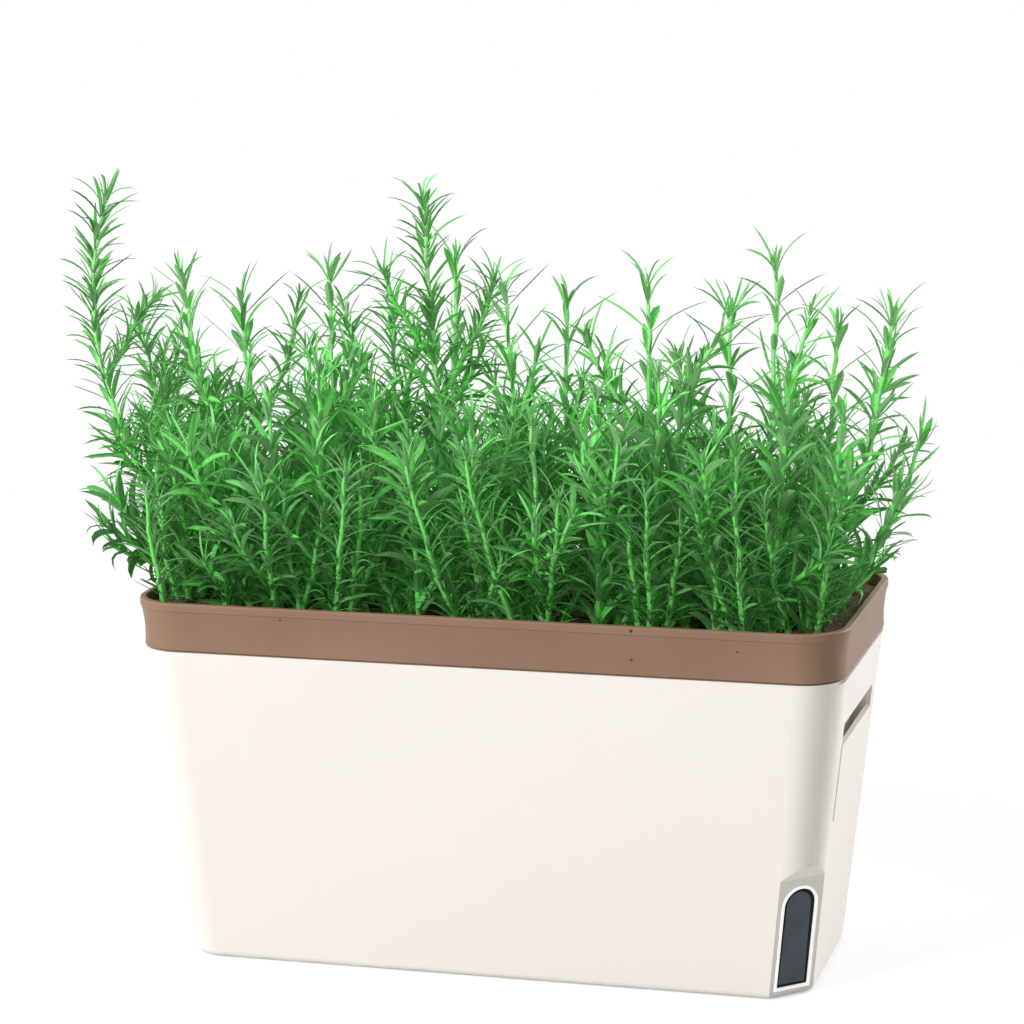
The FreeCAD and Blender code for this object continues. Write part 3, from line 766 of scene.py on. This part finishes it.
def addStem(mesh, places, radii, tone, pale):
    # closed tube through the places
    points = []
    faces = []
    for index, (place, radius) in enumerate(zip(places, radii)):
        before = places[max(0, index - 1)]
        after = places[min(len(places) - 1, index + 1)]
        axis = (after - before).normalized()
        for corner in range(stemSides):
            points.append(place + outwardFrom(axis, 2 * math.pi * corner / stemSides) * radius)
        if index:
            low = (index - 1) * stemSides
            for corner in range(stemSides):
                following = (corner + 1) % stemSides
                faces.append((low + corner, low + following, low + stemSides + following,
                              low + stemSides + corner))
    last = (len(places) - 1) * stemSides
    faces.append(tuple(reversed(range(stemSides))))
    faces.append(tuple(last + corner for corner in range(stemSides)))
    mesh.add(points, faces, stemSlot, [(midrib, pale, tone)] * len(points))


def curvePoint(curve, share):
    foot, bend, tip = curve
    return foot * (1 - share) ** 2 + bend * (2 * share * (1 - share)) + tip * share ** 2


def curveDirection(curve, share):
    foot, bend, tip = curve
    return ((bend - foot) * (1 - share) + (tip - bend) * share).normalized()


def outwardFrom(axis, turn):
    first = axis.cross(Vector((0, 1, 0))).normalized()
    return first * math.cos(turn) + axis.cross(first) * math.sin(turn)


def growWhorl(heap, place, axis, turn, share, leaves, scale, brightness):
    # a ring of leaves, some with a tuft of short ones in the angle
    rng = heap.rng
    sizes = whorlSizes
    tuft = tuftSizes
    grown = min(1.0, sizes["lowShare"] + (1 - sizes["lowShare"]) * share / sizes["grownFrom"])
    lowTone, highTone = leaves["tone"]
    usualTone = lowTone + sizes["usualTone"] * (highTone - lowTone)
    lean = [low + (high - low) * share for low, high in zip(leaves["lean"], leaves["tipLean"])]
    count = leaves["perWhorl"]
    for index in range(count):
        if rng.random() < sizes["gapChance"]:
            continue
        wander = rng.uniform(-sizes["wander"], sizes["wander"])
        out = outwardFrom(axis, turn + 2 * math.pi * index / count + wander)
        tone = rng.triangular(lowTone, highTone, usualTone) * brightness
        broad = sizes["broadWidth"] if rng.random() < sizes["broadChance"] else rng.uniform(*sizes["widths"])
        leafLean = (lean[0] + rng.uniform(-sizes["leanWander"], sizes["leanWander"]),
                    lean[1] + rng.uniform(-sizes["tipLeanWander"], sizes["tipLeanWander"]))
        length = leaves["length"] * grown * scale * rng.uniform(*sizes["lengths"])
        width = leaves["width"] * scale * broad
        heap.add(place, axis, out, length, width, leafLean, tone, leaves["round"])
        if rng.random() < leaves["tufts"]:
            out = outwardFrom(axis, turn + 2 * math.pi * (index + 0.5) / count)
            length = rng.uniform(*tuft["length"]) * scale
            width = rng.uniform(*tuft["width"]) * scale
            leafLean = (rng.uniform(*tuft["lean"]), rng.uniform(*tuft["tipLean"]))
            heap.add(place, axis, out, length, width, leafLean, tone, tuft["round"])


def addOpenLeaf(heap, place, axis, angle, kind, scale, widthScale, brightness):
    # a leaf whose measures are all drawn from the ranges of its kind
    rng = heap.rng
    length = rng.uniform(*kind["length"]) * scale
    width = rng.uniform(*kind["width"]) * widthScale
    lean = (rng.uniform(*kind["lean"]), rng.uniform(*kind["tipLean"]))
    tone = rng.uniform(*kind["tone"]) * brightness
    out = outwardFrom(axis, angle)
    heap.add(place, axis, out, length, width, lean, tone, kind["round"], leafForm["openRoll"])


def growOpenWhorl(heap, place, axis, turn, scale, brightness):
    # near the tip: two long curved needles, as wide on small shoots as on large ones, and
    # sometimes a short bract that hugs the stem
    rng = heap.rng
    needle, bract = needleSizes, bractSizes
    for index in range(2):
        angle = turn + math.pi * index + rng.uniform(-needle["wander"], needle["wander"])
        addOpenLeaf(heap, place, axis, angle, needle, scale, 1.0, brightness)
        if rng.random() < bract["chance"]:
            turned = angle + rng.uniform(*bract["turn"])
            addOpenLeaf(heap, place, axis, turned, bract, scale, scale, brightness)


def growTip(heap, curve, leaves, turn, scale, brightness):
    # long leaves that open out, and between them short ones that stand up
    rng = heap.rng
    sizes = tipSizes
    axis = curveDirection(curve, 1.0)
    root = curvePoint(curve, 1.0) - axis * sizes["depth"]
    tone = sizes["tone"] * brightness
    for index in range(sizes["count"]):
        wander = rng.uniform(-sizes["wander"], sizes["wander"])
        out = outwardFrom(axis, turn + 2 * math.pi * index / sizes["count"] + wander)
        if index % 2:
            length = rng.uniform(*sizes["shortLength"])
            lean = (sizes["shortLean"], rng.uniform(*sizes["shortTipLean"]))
        else:
            length = rng.uniform(*sizes["longLength"])
            lean = (rng.uniform(*sizes["longLean"]), rng.uniform(*sizes["longTipLean"]))
        width = rng.uniform(*sizes["width"])
        heap.add(root, axis, out, length * scale, width * scale, lean, tone, leaves["round"])


def growShoot(mesh, heap, curve, leaves, scale, brightness, openTop):
    # one stem with whorls of leaves, then the open tip; brightness scales down the tones of shaded shoots as
    # painted shade
    rng = heap.rng
    sizes = sprigSizes
    foot, tip = curve[0], curve[2]
    length = (tip - foot).length
    travelled = sizes["firstWhorl"]
    turn = rng.uniform(0, math.pi)
    openFrom = leaves["openFrom"] if openTop else 1.0
    places = [foot]
    radii = [sizes["footRadius"] * scale]
    while travelled < length - sizes["topGap"]:
        share = travelled / length
        axis = curveDirection(curve, share)
        place = curvePoint(curve, share) + outwardFrom(axis, turn) * rng.uniform(0, sizes["wobble"])
        radius = (sizes["footRadius"] + (sizes["tipRadius"] - sizes["footRadius"]) * share) * scale
        places.extend((place - axis * sizes["nodeBelow"], place, place + axis * sizes["nodeAbove"]))
        radii.extend((radius, radius * sizes["nodeSwell"], radius))
        if share > openFrom:
            growOpenWhorl(heap, place, axis, turn, scale, brightness)
            turn += math.pi / 2
            travelled += sizes["openPitch"] * rng.uniform(*sizes["openPitchRange"]) * scale
        else:
            growWhorl(heap, place, axis, turn, share, leaves, scale, brightness)
            turn += math.pi / leaves["perWhorl"]
            travelled += leaves["pitch"] * rng.uniform(*sizes["pitchRange"]) * scale
    places.append(tip)
    radii.append(sizes["tipRadius"] * scale * sizes["endShare"])
    addStem(mesh, places, radii, brightness, leaves["paleStem"] if openTop else 0.0)
    growTip(heap, curve, leaves, turn, scale, brightness)


def growSideShoots(mesh, heap, curve, leaves, tipHeight):
    # shoots off the lower two thirds of the stem
    rng = heap.rng
    sizes = sideSizes
    for shoot in range(sizes["rightCount" if curve[0].x > sizes["rightFrom"] else "count"]):
        share = rng.uniform(*sizes["places"])
        start = curvePoint(curve, share)
        axis = curveDirection(curve, share)
        out = outwardFrom(axis, rng.uniform(0, 2 * math.pi))
        lean = math.radians(rng.uniform(*sizes["lean"]))
        reach = rng.uniform(*sizes["length"]) * min(1.0, sizes["growth"] + tipHeight)
        end = start + (axis * math.cos(lean) + out * math.sin(lean)) * reach
        end = Vector(held(np.array([end]))[0])
        end.x = max(end.x, sizes["leftmost"])
        middle = (start + end) / 2 + out * (reach * sizes["bow"])
        openTop = leaves is slimLeaves and share > sizes["openFrom"]
        growShoot(mesh, heap, (start, middle, end), leaves, sizes["scale"], 1 - sizes["shade"], openTop)


def growRootShoots(mesh, heap, foot, tipHeight, atLeftEnd):
    # Short shoots that come up from the soil beside the stem, their tones darkened as painted shade. At the
    # left end there are more of them, bright ones that turn outward.
    rng = heap.rng
    sizes = rootSizes
    for shoot in range(sizes["endCount" if atLeftEnd else "count"]):
        turn = rng.uniform(0, 2 * math.pi)
        spread = sizes["spread"]
        tone = 1 - sizes["shade"]
        if atLeftEnd:
            turn = math.pi * (1 + rng.uniform(-1, 1) * sizes["endTurn"])
            spread = sizes["endSpread"]
            tone = 1.0
        out = Vector((math.cos(turn), math.sin(turn), 0))
        start = foot + out * rng.uniform(*sizes["places"]) * spread
        start = Vector(keptInOpening(np.array([start]), sizes["margin"])[0])
        lean = math.radians(rng.uniform(*sizes["lean"]))
        reach = rng.uniform(*sizes["length"]) * min(1.0, sizes["growth"] + tipHeight)
        end = start + (Vector((0, 0, 1)) * math.cos(lean) + out * math.sin(lean)) * reach
        end = Vector(held(np.array([end]))[0])
        middle = (start + end) / 2 + out * (reach * sizes["bow"])
        growShoot(mesh, heap, (start, middle, end), fineLeaves, sizes["scale"], tone, False)


def rosemarySprig(number, row, materials):
    footX, footY, tipX, tipY, tipHeight, bow, leaves = row
    sizes = sprigSizes
    heap = LeafHeap(random.Random(sizes["seed"] + number))
    reach = sizes["reachLeft"] if tipX < 0 else sizes["reachRight"]
    foot = Vector((footX * sizes["halfLength"], footY * sizes["halfWidth"], soilTop - sizes["footDepth"]))
    tip = Vector((tipX * reach, tipY * sizes["halfWidth"], soilTop + tipHeight * (sizes["top"] - soilTop)))
    bend = (foot + tip) / 2 + Vector((math.copysign(bow * (tip.z - foot.z), tip.x - foot.x), 0, 0))
    curve = (foot, bend, tip)
    mesh = PieceMesh()
    growShoot(mesh, heap, curve, leaves, 1.0, 1.0, True)
    if leaves is not openLeaves:
        growSideShoots(mesh, heap, curve, leaves, tipHeight)
        growRootShoots(mesh, heap, foot, tipHeight, footX < rootSizes["endFrom"])
    heap.intoMesh(mesh)
    piece = mesh.made("rosemary_" + str(number).zfill(2), materials, sizes["sharpAngle"])
    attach(piece, "insert")
    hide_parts("rosemary_sprig_" + str(number).zfill(2))
    return len(heap.rows)


def rosemary():
    materials = [stemSkin(), leafFace(), leafBack()]
    leaves = 0
    for number, row in enumerate(sprigShares, 1):
        leaves += rosemarySprig(number, row, materials)
    print("rosemary grown:", len(sprigShares), "sprigs,", leaves, "leaves")


rosemary()


# Potting soil

soilSizes = {
    "margin": 0.0006,  # inside the solid that it stands for
    "cell": 0.0035,
    "sink": 0.0015,  # from the solid's top down to the loose surface
    "topBand": 0.003,  # points this close to the solid's top are its top face
    "lump": 0.0022,  # height of the lumps
    "lumpPitch": 70, "lumpShare": 0.8,
    "finePitch": 260, "fineShare": 0.45, "fineLayer": 3,
    "endRise": 0.0085,  # the soil is heaped up at both ends
    "endFrom": 0.72, "endTo": 0.95,
    "crumbs": 520,
    "crumbSize": (0.0009, 0.0030),
    "crumbMargin": 0.008, "crumbLift": 0.3, "crumbSharpAngle": 40,
    "crumbSideways": (0.7, 1.3), "crumbUpward": (0.5, 0.9), "crumbBumps": (0.75, 1.2),
    "seed": 12,
}
wickSizes = {"margin": 0.0007, "cell": 0.0016, "lump": 0.0006, "lumpPitch": 400}
soilLook = {
    "dark": (0.05, 0.031, 0.02),
    "middle": (0.17, 0.108, 0.07),
    "light": (0.38, 0.265, 0.175),
    "fibre": (0.55, 0.43, 0.3),
    "specular": 0.2,
    "clods": (160.0, 6.0, 0.65), "clodShare": 0.6,
    "grit": (700.0, 4.0, 0.6), "gritShare": 0.4,
    "rampPlaces": (0.28, 0.5, 0.72),
    "fibreBand": (0.66, 0.72),
    "gritHeight": 0.5, "bump": (0.9, 0.0015),
    "gloss": (0.78, 0.96),
}


def soilMaterial():
    look = soilLook
    finish = Surface("potting_soil", look["specular"])
    clods = finish.noise(look["clods"])
    grit = finish.noise(look["grit"])
    mixture = clods * look["clodShare"] + grit * look["gritShare"]
    colour = finish.ramp(mixture, look["rampPlaces"], (look["dark"], look["middle"], look["light"]))
    colour = finish.mix(finish.between(grit, look["fibreBand"]), colour, look["fibre"])
    normal = finish.bump(clods + grit * look["gritHeight"], look["bump"])
    return finish.finished(colour, grit, look["gloss"], normal)


def soilHeight(x, y):
    # lumps of two sizes on a bed that rises softly towards both ends
    sizes = soilSizes
    coarse = Vector((x * sizes["lumpPitch"], y * sizes["lumpPitch"], 0))
    fine = Vector((x * sizes["finePitch"], y * sizes["finePitch"], sizes["fineLayer"]))
    lumps = noise.noise(coarse) * sizes["lumpShare"] + noise.noise(fine) * sizes["fineShare"]
    outward = abs(x) / openingHalfLength - sizes["endFrom"]
    share = min(1.0, max(0.0, outward / (sizes["endTo"] - sizes["endFrom"])))
    return sizes["lump"] * lumps + sizes["endRise"] * share * share * (3 - 2 * share)


def shrunkCopy(node, name, cell, margin):
    # the node's own form, remeshed fine and drawn in by a margin
    piece = newObject(name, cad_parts[node].data.copy())
    remesh = piece.modifiers.new("even", "REMESH")
    remesh.mode = "VOXEL"
    remesh.voxel_size = cell
    bpy.context.view_layer.update()
    shaped = piece.evaluated_get(bpy.context.evaluated_depsgraph_get())
    mesh = bpy.data.meshes.new_from_object(shaped)
    piece.modifiers.clear()
    piece.data = mesh
    for vertex in mesh.vertices:
        vertex.co = vertex.co - vertex.normal * margin
    return piece


def coverWithSoil(piece, material):
    piece.data.materials.clear()
    piece.data.materials.append(material)
    piece.data.shade_smooth()


def soilBed(material):
    sizes = soilSizes
    piece = shrunkCopy("potting_mix", "soil_bed", sizes["cell"], sizes["margin"])
    for vertex in piece.data.vertices:
        if vertex.co.z > soilTop - sizes["topBand"]:
            vertex.co.z = soilTop - sizes["sink"] + soilHeight(vertex.co.x, vertex.co.y)
    coverWithSoil(piece, material)
    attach(piece, "insert")
    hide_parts("potting_mix")


def addCrumb(mesh, centre, size, rng):
    # a small uneven stone of soil
    sizes = soilSizes
    ball = bmesh.new()
    bmesh.ops.create_icosphere(ball, subdivisions=1, radius=1.0)
    ranges = ("crumbSideways", "crumbSideways", "crumbUpward")
    stretch = Vector([rng.uniform(*sizes[name]) for name in ranges])
    turn = Matrix.Rotation(rng.uniform(0, math.pi), 3, "Z")
    points = []
    for vertex in ball.verts:
        shape = Vector([vertex.co[axis] * stretch[axis] for axis in range(3)])
        points.append(centre + turn @ (shape * rng.uniform(*sizes["crumbBumps"])) * size)
    faces = [[corner.index for corner in face.verts] for face in ball.faces]
    ball.free()
    mesh.add(points, faces, 0, [])


def soilCrumbs(material):
    sizes = soilSizes
    margin = sizes["crumbMargin"]
    rng = random.Random(sizes["seed"])
    mesh = PieceMesh()
    for number in range(sizes["crumbs"]):
        size = rng.uniform(*sizes["crumbSize"])
        x = rng.uniform(-1, 1) * (openingHalfLength - margin)
        y = rng.uniform(-1, 1) * (openingHalfWidth - margin)
        place = Vector(keptInOpening(np.array([(x, y, 0.0)]), margin)[0])
        place.z = soilTop - sizes["sink"] + soilHeight(place.x, place.y) + size * sizes["crumbLift"]
        addCrumb(mesh, place, size, rng)
    piece = mesh.made("soil_crumbs", [material], sizes["crumbSharpAngle"])
    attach(piece, "insert")


def wickFilling(number, material):
    # medium packed in a wick cup, drawn in a little and lumpy
    sizes = wickSizes
    node = "wick_plug_" + str(number)
    piece = shrunkCopy(node, "wick_filling_" + str(number), sizes["cell"], sizes["margin"])
    for vertex in piece.data.vertices:
        uneven = 1 + noise.noise(vertex.co * sizes["lumpPitch"])
        vertex.co -= vertex.normal * sizes["lump"] * uneven
    coverWithSoil(piece, material)
    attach(piece, "insert")
    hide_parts(node)


pottingSoil = soilMaterial()
soilBed(pottingSoil)
soilCrumbs(pottingSoil)
for cupNumber in range(1, cupCount + 1):
    wickFilling(cupNumber, pottingSoil)
print("soil laid")


# Floor, light and camera

stageSizes = {
    "floorHalf": 25.0,
    "whiteBand": (0.55, 1.1),  # distance over which the floor fades to white
    "floorColour": (0.64, 0.64, 0.64),
    "floorRoughness": 0.9,
    "cameraGlow": 0.45,
    "ambient": 0.3,
    "aim": (0.0, 0.0, 0.18),  # what the lamps point at
}
lamps = {
    "key": {"place": (-1.8, -2.1, 1.6), "size": (1.3, 1.2), "power": 83.0},
    "side": {"place": (2.0, 2.0, 1.1), "size": (1.2, 1.2), "power": 58.0},
    "top": {"place": (0.0, 0.4, 2.6), "size": (2.0, 1.6), "power": 18.0},
}
cameraFit = {
    "place": (0.460, -1.670, 0.576), "yaw": 15.46, "pitch": 11.22, "roll": -0.69,
    "focalPixels": 3421.0, "imagePixels": 1024.0, "sensor": 36.0, "clipEnd": 60,
}


def behindCamera(finish):
    # 1 for rays that show the background: straight from the camera, mirrored or through glass
    node = finish.node("ShaderNodeLightPath", {}, {}).socket.node
    rays = [Value(finish, node.outputs[name]) for name in (
        "Is Camera Ray", "Is Glossy Ray", "Is Transmission Ray")]
    total = rays[0] + rays[1] + rays[2]
    return finish.node("ShaderNodeMath", {"operation": "MINIMUM"}, {0: total, 1: 1.0})


def whiteWorld():
    world = bpy.data.worlds.new("studio")
    bpy.context.scene.world = world
    finish = Finish(world)
    background = finish.tree.nodes["Background"]
    ambient = stageSizes["ambient"]
    strength = ambient + (1 - ambient) * behindCamera(finish)
    finish.feed(background, {"Color": (1, 1, 1, 1), "Strength": strength})


def whiteGlow(finish, strength):
    return finish.node("ShaderNodeEmission", {}, {"Color": (1, 1, 1, 1), "Strength": strength})


def floor():
    sizes = stageSizes
    half = sizes["floorHalf"]
    corners = [(-half, -half, 0), (half, -half, 0), (half, half, 0), (-half, half, 0)]
    mesh = bpy.data.meshes.new("floor")
    mesh.from_pydata(corners, [], [(0, 1, 2, 3)])
    plane = newObject("floor", mesh)
    finish = Surface("pale_floor", 0.0)
    finish.shader.inputs["Roughness"].default_value = sizes["floorRoughness"]
    finish.shader.inputs["Base Color"].default_value = (*sizes["floorColour"], 1)
    distance = finish.node("ShaderNodeVectorMath", {"operation": "LENGTH"}, {0: finish.place}, out="Value")
    seen = behindCamera(finish)
    glow = whiteGlow(finish, sizes["cameraGlow"] * seen)
    lit = finish.node("ShaderNodeAddShader", {}, {0: Value(finish, finish.shader.outputs[0]), 1: glow})
    far = finish.between(distance, sizes["whiteBand"]) * seen
    shown = finish.node("ShaderNodeMixShader", {}, {0: far, 1: lit, 2: whiteGlow(finish, 1.0)})
    finish.feed(finish.tree.nodes["Material Output"], {"Surface": shown})
    mesh.materials.append(finish.owner)


def studioLamps():
    aim = Vector(stageSizes["aim"])
    for name, lamp in lamps.items():
        data = bpy.data.lights.new(name, "AREA")
        data.shape = "RECTANGLE"
        data.size, data.size_y = lamp["size"]
        data.energy = lamp["power"]
        light = newObject(name, data)
        light.location = lamp["place"]
        light.rotation_mode = "QUATERNION"
        light.rotation_quaternion = (aim - light.location).to_track_quat("-Z", "Y")


def photoCamera():
    fit = cameraFit
    yaw = math.radians(fit["yaw"])
    pitch = math.radians(fit["pitch"])
    roll = math.radians(fit["roll"])
    ahead = Vector((-math.sin(yaw) * math.cos(pitch), math.cos(yaw) * math.cos(pitch), -math.sin(pitch)))
    right = ahead.cross(Vector((0, 0, 1))).normalized()
    above = right.cross(ahead)
    rolledRight = right * math.cos(roll) + above * math.sin(roll)
    rolledAbove = above * math.cos(roll) - right * math.sin(roll)
    data = bpy.data.cameras.new("photo_camera")
    data.sensor_width = fit["sensor"]
    data.lens = fit["focalPixels"] / fit["imagePixels"] * fit["sensor"]
    data.clip_end = fit["clipEnd"]
    camera = newObject("photo_camera", data)
    columns = Matrix((rolledRight, rolledAbove, -ahead)).transposed()
    camera.matrix_world = Matrix.Translation(fit["place"]) @ columns.to_4x4()
    bpy.context.scene.camera = camera


whiteWorld()
floor()
studioLamps()
photoCamera()
bpy.context.scene.view_settings.view_transform = "Standard"
print("stage set")
